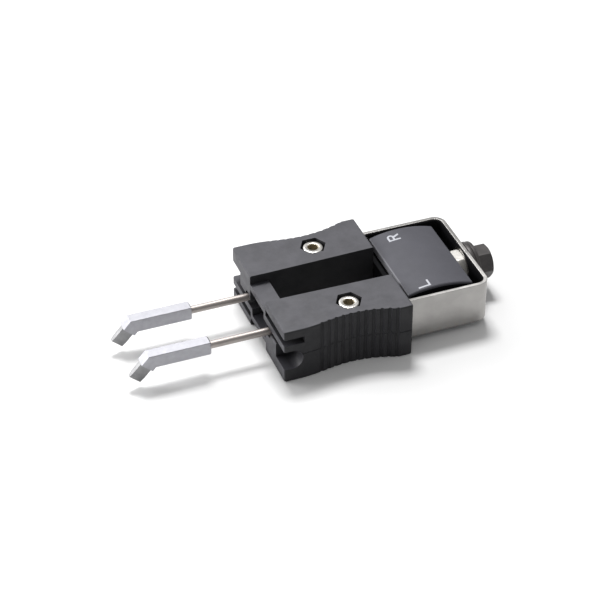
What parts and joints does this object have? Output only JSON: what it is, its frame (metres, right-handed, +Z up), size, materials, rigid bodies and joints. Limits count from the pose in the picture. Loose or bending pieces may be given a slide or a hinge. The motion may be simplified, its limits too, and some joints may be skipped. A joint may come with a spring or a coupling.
{
  "type": "electrode holder",
  "caption": "Hand-held two-pole electrode holder: sliding bent-tip electrodes clamped in a waisted black body, with a side-marked rocker switch in a steel bracket.",
  "frame": {"origin": "on the underside, below the middle of the whole assembly", "axes": "+X from the electrode tips to the rear bolt, +Y to the side marked R, +Z up out of the marked face"},
  "size_m": [0.1007, 0.04, 0.0156],
  "materials": {
    "shell_plastic": "fine moulded texture, matt black",
    "switch_plastic": "smooth moulded black",
    "cover_satin": "satin grey",
    "mark_white": "white",
    "stainless": "brushed along its length",
    "rod_nickel": "drawn, slightly warm",
    "block_aluminium": "bead blasted and clear anodised",
    "insert_alloy": "sintered, ground dark grey",
    "screw_steel": "bright zinc",
    "nut_steel": "bright zinc",
    "bolt_black": "black oxide",
    "grub_steel": "dark steel",
    "brass": "turned brass",
    "spring_steel": "drawn wire",
    "board": "laminate"
  },
  "bodies": {
    "holder": {"upper_shell": "shell_plastic", "lower_shell": "shell_plastic", "left_clamp_screw": "screw_steel", "right_clamp_screw": "screw_steel", "left_clamp_nut": "nut_steel", "right_clamp_nut": "nut_steel", "left_collet": "brass", "right_collet": "brass", "left_bus_bar": "brass", "right_bus_bar": "brass", "bracket": "stainless", "bracket_liner": "switch_plastic", "switch_housing": "switch_plastic", "contact_board": "board", "left_fixed_contact": "brass", "right_fixed_contact": "brass", "left_return_spring": "spring_steel", "right_return_spring": "spring_steel", "rocker_pin": "spring_steel", "bolt_washer": "bolt_black"},
    "rocker": {"rocker_core": "switch_plastic", "rocker_cover": "cover_satin", "left_mark": "mark_white", "right_mark": "mark_white"},
    "left_electrode": {"left_electrode_rod": "rod_nickel", "left_tip_block": "block_aluminium", "left_tip_insert": "insert_alloy", "left_set_screw": "grub_steel"},
    "right_electrode": {"right_electrode_rod": "rod_nickel", "right_tip_block": "block_aluminium", "right_tip_insert": "insert_alloy", "right_set_screw": "grub_steel"},
    "rear_bolt": {"rear_bolt": "bolt_black"},
    "rear_nut": {"rear_nut": "nut_steel"}
  },
  "joints": [
    {"name": "rocker_tilt", "type": "hinge", "parent": "holder", "child": "rocker", "pos_m": [0.03079, 0, 0.008], "axis": [1, 0, 0], "range_deg": [-4, 4], "stiffness_Nm_per_rad": 0.2, "deforming": ["left_return_spring", "right_return_spring"]},
    {"name": "left_electrode_slide", "type": "slide", "parent": "holder", "child": "left_electrode", "axis": [1, 0, 0], "range_m": [-0.005, 0.008]},
    {"name": "right_electrode_slide", "type": "slide", "parent": "holder", "child": "right_electrode", "axis": [1, 0, 0], "range_m": [-0.005, 0.008]},
    {"name": "rear_bolt_turn", "type": "hinge", "parent": "holder", "child": "rear_bolt", "pos_m": [0.04485, 0, 0.0078], "axis": [1, 0, 0], "range_deg": [0, 271]},
    {"name": "rear_nut_slide", "type": "slide", "parent": "holder", "child": "rear_nut", "axis": [-1, 0, 0], "range_m": [0, 0.0006]}
  ],
  "couplings": [
    {"joint": "rear_bolt_turn", "follows": "rear_nut_slide", "rad_per_m": 7854}
  ]
}
